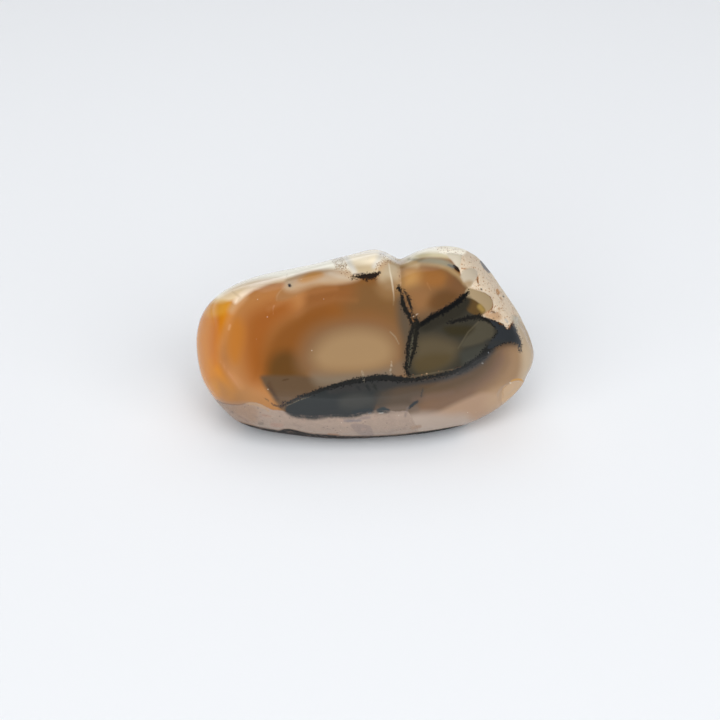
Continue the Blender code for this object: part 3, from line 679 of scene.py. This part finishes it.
        (228, 421), (236, 421.6), (248, 425), (260, 428), (272, 430), (279, 431), (284, 429.8),
        (292, 430), (300, 432), (308, 433.8), (320, 435), (332, 435.8), (344, 436.6), (356, 436.8),
        (368, 436.8), (380, 436.4), (392, 435.6), (404, 434.6), (416, 432.8), (428, 431.2),
        (440, 429.4), (452, 427.2), (464, 425.4), (474, 425), (480, 430), (470, 470), (240, 470),
    ], 1.2, 0.6, "121212", 1),
}

# Behind the stone's middle: the same, as it would be seen through the stone. The photograph doesn't show
# this side, so it is a guess.
backMarkings = {
    "backMilk": ([
        (212, 330), (250, 296), (310, 284), (340, 320), (330, 372), (280, 400), (228, 388),
    ], 40, 0, "C9A577", 0.9),
    "backEye": ([
        (252, 345), (276, 328), (304, 334), (306, 358), (280, 372), (256, 364),
    ], 24, 0, "8A5C34", 0.9),
    "backSmoke": ([
        (366, 340), (412, 346), (466, 332), (512, 342), (500, 380), (450, 404), (398, 408), (374, 390),
    ], 14, 1, "5C4D3C", 0.95),
    "backMatrix": ([
        (352, 236), (420, 232), (476, 244), (470, 286), (446, 316), (410, 322), (384, 300), (362, 276),
    ], 2, 3, "DCCBB4", 1),
    "backSeam": ([
        (200, 372, 1.5), (236, 362, 2.6), (276, 384, 2), (318, 372, 3.4), (366, 344, 3.6),
        (412, 348, 2.6), (464, 332, 3.2), (520, 340, 2),
    ], 1.8, 2, "26241F", 1),
    "backBranch": ([
        (366, 344, 2.6), (378, 372, 2), (384, 400, 2.6), (376, 428, 1.4),
    ], 1.8, 2, "26241F", 1),
    "backBranch2": ([
        (318, 372, 2), (300, 340, 1.4), (306, 300, 2.2), (298, 272, 1),
    ], 1.8, 2, "2C241C", 1),
}

# Bands of tan grains, which thin out at their edges: (points as of a seam, how thick the grains lie, how
# much of the pale ground shows between them).
grainBands = {
    "firstGrain": ([
        (337, 259, 6), (340, 265, 6), (344, 271, 4), (349, 276, 2.8), (354, 280, 1.2),
    ], 1.0, 0.35),
    "secondGrain": ([
        (375, 271, 1.2), (380, 264.5, 2.8), (386, 260, 3.4), (392, 259, 3.4), (397, 261, 1.6),
    ], 0.8, 0.35),
    "crownGrain": ([(381, 254, 1.5), (388, 254.5, 3), (395, 257, 1.5)], 0.6, 0.1),
    "veinGrain": ([(397.6, 262, 0.6), (399, 268, 0.9), (400, 278, 0.8), (400.4, 286, 0.8)], 0.8, 0.3),
    "veinGrainLow": ([
        (400.4, 286, 0.8), (402.6, 292.5, 0.9), (405.4, 300, 0.8), (408, 308, 0.8), (410.4, 316, 0.9),
        (412.8, 324, 0.7),
    ], 0.6, 0.0),
    "seamGrain": ([
        (404, 377.6, 1), (412.7, 377.4, 1.1), (424.5, 375.6, 0.9), (435.5, 373.4, 0.8),
        (446.4, 371.4, 0.6), (454, 369.6, 0.4), (460, 368, 0.2),
    ], 0.6, 0.1),
    "tanCorner": ([(483, 315, 2), (490, 314, 3.4), (499, 317, 3)], 0.5, 0.1),
    "haloTrail": ([(287, 274, 0.6), (287.6, 278, 0.8), (289, 283, 0.6)], 0.5, 0.1),
}

blackSeams = [  # black grains stray from these
    "greatSeam", "upperSeam", "thinSeam", "blueMass", "veinLeft", "veinRight", "veinKnot", "clump",
    "backSeam", "backBranch", "backBranch2",
]
grainy = ["rightMatrix", "topMatrix", "backMatrix"]  # coarse and specked
chalky = ["lowMatrix"]  # fine and dull
clearOver = ["palePatch", "clearPatch", "greatSeam", "blueMass", "upperSeam"]  # polished over the matrix


def placesInView(sight):
    # Where the eye sees each point, in pixels: across and up, drawn together with depth as a camera does.
    # Behind the stone's middle the markings drift, as slanting sheets do, and waver with two slow sines.
    right, up, out = sight.T
    nearness = view["eyeFar"] / (view["eyeFar"] - np.maximum(out, 0))
    depth = np.clip((-out - view["driftStart"]) / view["driftDepth"], 0, 1.2)
    drift = depth**2 * (3 - 2 * np.minimum(depth, 1))
    far, waver, length, start = drifts["right"]
    across = right * nearness + drift * (far + waver * np.sin(up / length + start))
    far, waver, length, start = drifts["up"]
    along = up * nearness + drift * (far + waver * np.sin(right / length + start))
    seen = np.stack([across, -along], axis=-1) / view["mmPerPixel"]
    return seen + view["middle"]


def patchDepth(spots, corners):
    # How far each spot is inside the closed curve, less than zero outside: the distance to the nearest
    # stretch, with its sign from how often a level line to the right crosses the curve.
    starts, ends = corners, np.roll(corners, -1, axis=0)
    edge = ends - starts
    offset = spots[:, None] - starts
    share = np.clip((offset * edge).sum(axis=2) / np.maximum((edge**2).sum(axis=1), 1e-9), 0, 1)
    gap = np.linalg.norm(offset - share[..., None] * edge, axis=2).min(axis=1)
    above = starts[:, 1] > spots[:, 1:]
    crossed = above != (ends[:, 1] > spots[:, 1:])
    height = np.where(np.abs(edge[:, 1]) < 1e-9, 1e-9, edge[:, 1])
    hit = spots[:, :1] < starts[:, 0] + (spots[:, 1:] - starts[:, 1]) * edge[:, 0] / height
    inside = (crossed & hit).sum(axis=1) % 2 == 1
    return np.where(inside, gap, -gap)


def seamDepth(spots, stops):
    # How far each spot is inside the seam: the half width, which changes evenly between stops, less the
    # distance to the line through them.
    starts, ends = stops[:-1], stops[1:]
    edge = ends[:, :2] - starts[:, :2]
    offset = spots[:, None] - starts[:, :2]
    share = np.clip((offset * edge).sum(axis=2) / np.maximum((edge**2).sum(axis=1), 1e-9), 0, 1)
    gap = np.linalg.norm(offset - share[..., None] * edge, axis=2)
    return (starts[:, 2] + share * (ends[:, 2] - starts[:, 2]) - gap).max(axis=1)


def markingDepth(spots, points, margin=30.0):
    # The depth in millimetres, worked out up to a margin of pixels round the marking, and held beyond it.
    points = np.array(points, float)
    depth = np.full(len(spots), -margin)
    low, high = points[:, :2].min(axis=0) - margin, points[:, :2].max(axis=0) + margin
    near = ((spots > low) & (spots < high)).all(axis=1)
    if points.shape[1] == 3:
        depth[near] = seamDepth(spots[near], points)
    else:
        depth[near] = patchDepth(spots[near], closedCurve(points, steps=5))
    return depth * view["mmPerPixel"]


def latticeNoise(points, cell, seed, side=32):
    # Smooth noise from 0 to 1: random values at the corners of cubes of this size, blended by cubic steps.
    values = np.random.default_rng(seed).random((side, side, side))
    spot = points / cell + side / 2
    corner = np.floor(spot).astype(int)
    share = smoothRise(spot - corner, 0, 1)
    total = np.zeros(len(points))
    for step in np.ndindex(2, 2, 2):
        weight = np.abs(1 - np.array(step) - share).prod(axis=1)
        x, y, z = ((corner + step) % side).T
        total += weight * values[x, y, z]
    return total


print("shaping the stone")
places, squares = boxLattice(stone["cells"])
sight, way = stonePoints(places)

print("laying out the markings")
spots = placesInView(lieDown(standUp(sight)))
behind = -sight[:, 2]
start, end, most = thinning["seams"]
pinch = smoothRise(behind, start, end) * most
start, end, most = thinning["grains"]
fade = smoothRise(behind, start, end) * most
depths = {}
for name, marking in markings.items():
    depths[name] = markingDepth(spots, marking[0])
    if len(marking[0][0]) == 3:
        depths[name] = depths[name] - pinch
for name, marking in backMarkings.items():
    depths[name] = np.minimum(markingDepth(spots, marking[0]), behind - thinning["backMarkings"])
for name, band in grainBands.items():
    depths[name] = markingDepth(spots, band[0]) - fade
depths["rough"] = np.max([depths[name] for name in grainy], axis=0)
for name in clearOver:
    depths["rough"] = np.minimum(depths["rough"], -depths[name])
depths["dull"] = np.max([depths[name] for name in chalky], axis=0)
depths["black"] = np.max([depths[name] for name in blackSeams], axis=0)

fineRelief = {  # mm
    "roughSink": 0.03,  # how far the rough matrix lies under the polish at the least
    "roughLumps": ((0.9, 0.12), (2.3, 0.12)),  # size across, and height
    "dullLumps": (1.4, 0.06),
    "polishWaves": (6.0, 0.05),
    "pits": {"deepPit": 0.25, "secondPit": 0.2, "thirdPit": 0.15, "fourthPit": 0.15},
}

print("cutting the fine relief")
seed = stone["seed"]
sink = np.full(len(sight), fineRelief["roughSink"])
for number, (size, height) in enumerate(fineRelief["roughLumps"]):
    sink += height * latticeNoise(sight, size, seed + number)
sink *= smoothRise(depths["rough"], -0.15, 0.35)
size, height = fineRelief["dullLumps"]
sink += smoothRise(depths["dull"], -0.1, 0.3) * height * latticeNoise(sight, size, seed + 2)
for name, pitDepth in fineRelief["pits"].items():
    sink += smoothRise(depths[name], -0.12, 0.12) * pitDepth
size, height = fineRelief["polishWaves"]
sink += height * latticeNoise(sight, size, seed + 3)
sight = sight - way * sink[:, None]

stood = standUp(sight)
nodeLow, nodeHigh = (np.array(corner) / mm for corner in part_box("opal"))
stoneMiddle = (nodeLow + nodeHigh) / 2 - (stood.min(axis=0) + stood.max(axis=0)) / 2
stoneMiddle[2] = nodeLow[2] + stone["baseDrop"]
world = (stood + stoneMiddle) * mm

mesh = bpy.data.meshes.new("polishedOpal")
mesh.vertices.add(len(world))
mesh.vertices.foreach_set("co", world.astype(np.float32).ravel())
mesh.loops.add(squares.size)
mesh.loops.foreach_set("vertex_index", squares.astype(np.int32).ravel())
mesh.polygons.add(len(squares))
mesh.polygons.foreach_set("loop_start", np.arange(0, squares.size, 4, dtype=np.int32))
mesh.update(calc_edges=True)
mesh.shade_smooth()
for name, depth in depths.items():
    field = mesh.attributes.new(name, "FLOAT", "POINT")
    field.data.foreach_set("value", depth.astype(np.float32))
opal = bpy.data.objects.new("polishedOpal", mesh)
bpy.context.scene.collection.objects.link(opal)
print("stone", len(world), "points", len(squares), "squares")


def linear(code):  # sRGB hex to linear light: the power 2.4 curve with its straight toe
    channels = np.array([int(code[i : i + 2], 16) / 255 for i in (0, 2, 4)])
    light = np.where(channels <= 0.04045, channels / 12.92, ((channels + 0.055) / 1.055) ** 2.4)
    return (*light, 1.0)


def addNode(tree, kind, inputs, **settings):  # an input is a number, a colour or another node's output
    made = tree.nodes.new("ShaderNode" + kind)
    for name, value in settings.items():
        setattr(made, name, value)
    for place, value in inputs.items():
        if isinstance(value, bpy.types.NodeSocket):
            tree.links.new(value, made.inputs[place])
        else:
            made.inputs[place].default_value = value
    return made.outputs


look = {
    "body": "774613",
    "clouds": {  # size in mm, detail and roughness of each noise
        "fringe": (0.34, 3.0, 0.7),  # frays the seams' edges
        "drift": (1.3, 2.0, 0.5),  # where the specks lie thicker
        "stain": (0.9, 4.0, 0.65),
        "patchy": (1.5, 3.0, 0.6),
        "mottle": (0.7, 3.0, 0.6),
        "grit": (0.30, 2.0, 0.5),  # the bump of both kinds of matrix
    },
    "scatters": {  # size in mm of the cells that each hold one grain
        "grain": 0.29,  # the tan and black grains beside the seams
        "speck": 0.34,  # the specks in the rough matrix
        "dust": 2.4,
    },
    "grainGround": "AF997A",
    "grainDark": "75543C",
    "grainPale": "A88A6A",
    "strayGrain": "0A0A0A",
    "stain": "B0875C",
    "speckBrown": "996942",
    "speckDark": "4A3525",
    "speckPale": "D1C8B9",
    "patchGrey": "7B6860",
    "patchPink": "977F71",
    "fleck": "5C4C44",
    "dust": "C9C0B1",
    "ior": 1.45,
    "polish": 0.10,  # roughness of each finish
    "dullMatrix": 0.34,
    "roughMatrix": 0.50,
    # dull finish under the painted contact shadow
    "underPaintedShadow": 0.90,
}


def polishedDendriticOpal():
    # Common opal under a wheel polish: clear brown body with milky bands, soft-edged zones, and black
    # manganese seams with ragged edges. It gives a wet gloss, and a dull grain where matrix comes through.
    material = bpy.data.materials.new("polishedDendriticOpal")
    material.use_nodes = True
    tree = material.node_tree
    shader = tree.nodes["Principled BSDF"]
    spot = addNode(tree, "TexCoord", {})["Object"]
    smooth = {"interpolation_type": "SMOOTHSTEP"}
    times, plus = {"operation": "MULTIPLY"}, {"operation": "MULTIPLY_ADD"}
    over, under = {"operation": "GREATER_THAN"}, {"operation": "LESS_THAN"}

    depth = {name: addNode(tree, "Attribute", {}, attribute_name=name)["Fac"] for name in depths}
    clouds = {}  # each is about 0, and from -1 to 1
    for name, (size, detail, rough) in look["clouds"].items():
        inputs = {"Vector": spot, "Scale": 1 / (size * mm), "Detail": detail, "Roughness": rough}
        made = addNode(tree, "TexNoise", inputs, noise_dimensions="3D")["Fac"]
        clouds[name] = addNode(tree, "Math", {0: made, 1: 4.0, 2: -2.0}, **plus)[0]
    scatters = {}  # how near a grain's middle, and two random numbers of that grain
    for name, size in look["scatters"].items():
        made = addNode(tree, "TexVoronoi", {"Vector": spot, "Scale": 1 / (size * mm), "Randomness": 1.0})
        picks = addNode(tree, "SeparateColor", {"Color": made["Color"]})
        scatters[name] = (made["Distance"], picks[0], picks[1])

    layers = []  # (how much it covers, colour), laid over one another in this order
    for name, (_, soft, ragged, code, strength) in {**markings, **backMarkings}.items():
        edge = depth[name]
        if ragged:
            fray = ragged * view["mmPerPixel"] * 0.6
            edge = addNode(tree, "Math", {0: clouds["fringe"], 1: fray, 2: edge}, **plus)[0]
        half = soft * view["mmPerPixel"] / 2
        cover = addNode(tree, "MapRange", {0: edge, 1: -half, 2: half, 4: strength}, **smooth)[0]
        layers.append((cover, linear(code)))

    # Tan grains on a pale ground, and black grains that stray from the seams: a cell has its grain where
    # its random number is under the thickness there.
    near, pick, tint = scatters["grain"]
    grainShape = addNode(tree, "MapRange", {0: near, 1: 0.62, 2: 0.38}, **smooth)[0]
    mix = addNode(tree, "MapRange", {0: tint, 1: 0.2, 2: 0.9}, **smooth)[0]
    ends = {6: linear(look["grainDark"]), 7: linear(look["grainPale"])}
    grainColour = addNode(tree, "Mix", {0: mix, **ends}, data_type="RGBA")[2]
    for name, (_, thickness, ground) in grainBands.items():
        cover = addNode(tree, "MapRange", {0: depth[name], 1: -0.1, 2: 0.15, 4: ground}, **smooth)[0]
        layers.append((cover, linear(look["grainGround"])))
        inputs = {0: depth[name], 1: -0.3, 2: 0.3, 4: thickness * 0.75}
        thick = addNode(tree, "MapRange", inputs, **smooth)[0]
        there = addNode(tree, "Math", {0: thick, 1: pick}, **over)[0]
        there = addNode(tree, "Math", {0: there, 1: grainShape}, **times)[0]
        layers.append((addNode(tree, "Math", {0: there, 1: 0.85}, **times)[0], grainColour))
    outer = addNode(tree, "MapRange", {0: depth["black"], 1: -0.5, 2: 0.0, 4: 0.62}, **smooth)[0]
    inner = addNode(tree, "MapRange", {0: depth["black"], 1: 0.25, 2: 0.1}, **smooth)[0]
    thick = addNode(tree, "Math", {0: outer, 1: inner}, **times)[0]
    there = addNode(tree, "Math", {0: thick, 1: pick}, **over)[0]
    there = addNode(tree, "Math", {0: there, 1: grainShape}, **times)[0]
    layers.append((addNode(tree, "Math", {0: there, 1: 0.8}, **times)[0], linear(look["strayGrain"])))

    # The two kinds of matrix. The rough one is stained, with brown and a few dark specks on cream, and a
    # pale grain here and there. The dull one has slow patches of pink and grey, with small dark flecks.
    edge = addNode(tree, "Math", {0: clouds["fringe"], 1: 0.1, 2: depth["rough"]}, **plus)[0]
    inRough = addNode(tree, "MapRange", {0: edge, 1: -0.08, 2: 0.15}, **smooth)[0]
    inDull = addNode(tree, "MapRange", {0: depth["dull"], 1: -0.1, 2: 0.15}, **smooth)[0]
    for name, low, high, most, where, code in (
        ("stain", 0.15, 0.9, 0.45, inRough, look["stain"]),
        ("patchy", 0.0, 0.9, 0.35, inDull, look["patchGrey"]),
        ("patchy", 0.0, -0.9, 0.3, inDull, look["patchPink"]),
    ):
        share = addNode(tree, "MapRange", {0: clouds[name], 1: low, 2: high, 4: most}, **smooth)[0]
        layers.append((addNode(tree, "Math", {0: share, 1: where}, **times)[0], linear(code)))
    near, pick, tint = scatters["speck"]
    reach = addNode(tree, "Math", {0: tint, 1: 0.22, 2: near}, **plus)[0]
    speckShape = addNode(tree, "MapRange", {0: reach, 1: 0.66, 2: 0.42}, **smooth)[0]
    mix = addNode(tree, "MapRange", {0: tint, 1: 0.6, 2: 0.8}, **smooth)[0]
    ends = {6: linear(look["speckBrown"]), 7: linear(look["speckDark"])}
    speckColour = addNode(tree, "Mix", {0: mix, **ends}, data_type="RGBA")[2]
    thick = addNode(tree, "Math", {0: clouds["drift"], 1: 0.22, 2: 0.22}, **plus)[0]
    for test, limit, most, where, colour in (
        (under, thick, 0.8, inRough, speckColour),
        (over, 0.8, 0.5, inRough, linear(look["speckPale"])),
        (under, 0.05, 0.5, inDull, linear(look["fleck"])),
    ):
        there = addNode(tree, "Math", {0: pick, 1: limit}, **test)[0]
        for factor in (speckShape, where, most):
            there = addNode(tree, "Math", {0: there, 1: factor}, **times)[0]
        layers.append((there, colour))

    paint = linear(look["body"])
    for cover, colour in layers:
        paint = addNode(tree, "Mix", {0: cover, 6: paint, 7: colour}, data_type="RGBA")[2]

    # Both kinds of matrix are mottled, and dust lies on the polish.
    matrix = addNode(tree, "Math", {0: inRough, 1: inDull}, operation="MAXIMUM")[0]
    tone = addNode(tree, "Math", {0: clouds["mottle"], 1: 0.07, 2: 1.0}, **plus)[0]
    toned = addNode(tree, "VectorMath", {0: paint, "Scale": tone}, operation="SCALE")[0]
    paint = addNode(tree, "Mix", {0: matrix, 6: paint, 7: toned}, data_type="RGBA")[2]
    near, pick, _ = scatters["dust"]
    mote = addNode(tree, "MapRange", {0: near, 1: 0.055, 2: 0.03, 4: 0.45}, **smooth)[0]
    there = addNode(tree, "Math", {0: pick, 1: 0.6}, **under)[0]
    cover = addNode(tree, "Math", {0: mote, 1: there}, **times)[0]
    inputs = {0: cover, 6: paint, 7: linear(look["dust"])}
    paint = addNode(tree, "Mix", inputs, data_type="RGBA")[2]
    tree.links.new(paint, shader.inputs["Base Color"])

    # The painted contact shadow at the base is given a dull finish, so the polish does not mirror the floor
    # over it.
    paintedShadowCover = addNode(tree, "MapRange", {0: depth["paintedContactShadow"], 1: -0.3, 2: 0.0}, **smooth)[0]
    gloss = look["polish"]
    for where, finish in ((inDull, "dullMatrix"), (inRough, "roughMatrix"), (paintedShadowCover, "underPaintedShadow")):
        gloss = addNode(tree, "Mix", {0: where, 2: gloss, 3: look[finish]}, data_type="FLOAT")[0]
    tree.links.new(gloss, shader.inputs["Roughness"])
    shader.inputs["IOR"].default_value = look["ior"]
    height = addNode(tree, "Math", {0: clouds["grit"], 1: matrix}, **times)[0]
    bump = addNode(tree, "Bump", {"Height": height, "Strength": 0.4, "Distance": 0.05 * mm})
    tree.links.new(bump[0], shader.inputs["Normal"])
    return material


print("painting the opal")
mesh.materials.append(polishedDendriticOpal())

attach(opal, "root")
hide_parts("opal")

print("laying the floor")
floorLook = {"half": 2.5, "colour": "EAECEF", "roughness": 0.9, "mirror": 0.1}  # half its side, in metres
half = floorLook["half"]
corners = [(-half, -half, 0), (half, -half, 0), (half, half, 0), (-half, half, 0)]
floorMesh = bpy.data.meshes.new("paleFloor")
floorMesh.from_pydata(corners, [], [(0, 1, 2, 3)])
floor = bpy.data.objects.new("paleFloor", floorMesh)
bpy.context.scene.collection.objects.link(floor)
floorPaper = bpy.data.materials.new("matteRolledPaper")  # rolled paper: a soft pale ground with no gloss
floorPaper.use_nodes = True
floorShader = floorPaper.node_tree.nodes["Principled BSDF"]
floorShader.inputs["Base Color"].default_value = linear(floorLook["colour"])
floorShader.inputs["Roughness"].default_value = floorLook["roughness"]
floorShader.inputs["Specular IOR Level"].default_value = floorLook["mirror"]
floorMesh.materials.append(floorPaper)

print("hanging the lamps")
lamps = {  # place in metres, width and height, power, and whether the polish mirrors it
    "overheadBox": ((0.0, 0.20, 0.45), (0.50, 0.45), 0.60, True),
    "topBox": ((0.0, -0.70, 1.00), (0.90, 0.90), 7.0, False),
    "rightBox": ((1.10, -1.20, 0.84), (1.40, 1.40), 13.5, False),
    "leftBox": ((-1.00, -1.30, 0.84), (1.40, 1.40), 12.4, False),
    "lowBox": ((-0.30, -1.70, 0.40), (1.20, 0.60), 10.0, False),
}
for name, (place, size, power, mirrored) in lamps.items():
    lamp = bpy.data.lights.new(name, "AREA")
    lamp.shape = "RECTANGLE"
    lamp.size, lamp.size_y = size
    lamp.energy = power
    lampObject = bpy.data.objects.new(name, lamp)
    lampObject.location = place
    lampObject.rotation_mode = "QUATERNION"
    lampObject.rotation_quaternion = Vector(place).to_track_quat("Z", "Y")
    lampObject.visible_glossy = mirrored
    bpy.context.scene.collection.objects.link(lampObject)

# The room is brightest low down behind the stone, and dim overhead and in front.
room = bpy.data.worlds.new("paleRoom")
room.use_nodes = True
bpy.context.scene.world = room
air = room.node_tree
ways = addNode(air, "SeparateXYZ", {0: addNode(air, "TexCoord", {})["Generated"]})
low = addNode(air, "MapRange", {0: ways[2], 1: 0.32, 2: -0.04}, interpolation_type="SMOOTHSTEP")[0]
back = addNode(air, "MapRange", {0: ways[1], 1: -0.2, 2: 0.6}, interpolation_type="SMOOTHSTEP")[0]
glow = addNode(air, "Math", {0: back, 1: 0.7, 2: 0.5}, operation="MULTIPLY_ADD")[0]
strength = addNode(air, "Math", {0: glow, 1: low, 2: 0.20}, operation="MULTIPLY_ADD")[0]
background = air.nodes["Background"]
background.inputs["Color"].default_value = (0.95, 0.97, 1.0, 1)
air.links.new(strength, background.inputs["Strength"])

print("setting up the camera")
eye = {"lens": 85.0, "sensor": 36.0, "clipStart": 0.01, "aim": (-0.89, -3.2)}  # aim in mm, right and up
tilt = math.radians(stone["faceTilt"])
rightWay = Vector((1, 0, 0))
upWay = Vector((0, math.sin(tilt), math.cos(tilt)))
outWay = Vector((0, -math.cos(tilt), math.sin(tilt)))
aim = Vector(stoneMiddle) + rightWay * eye["aim"][0] + upWay * eye["aim"][1]
camera = bpy.data.cameras.new("camera")
camera.lens = eye["lens"]
camera.sensor_width = eye["sensor"]
camera.clip_start = eye["clipStart"]
cameraObject = bpy.data.objects.new("camera", camera)
cameraObject.location = (aim + outWay * view["eyeFar"]) * mm
cameraObject.rotation_mode = "QUATERNION"
cameraObject.rotation_quaternion = outWay.to_track_quat("Z", "Y")
bpy.context.scene.collection.objects.link(cameraObject)
bpy.context.scene.camera = cameraObject
bpy.context.scene.view_settings.view_transform = "Standard"
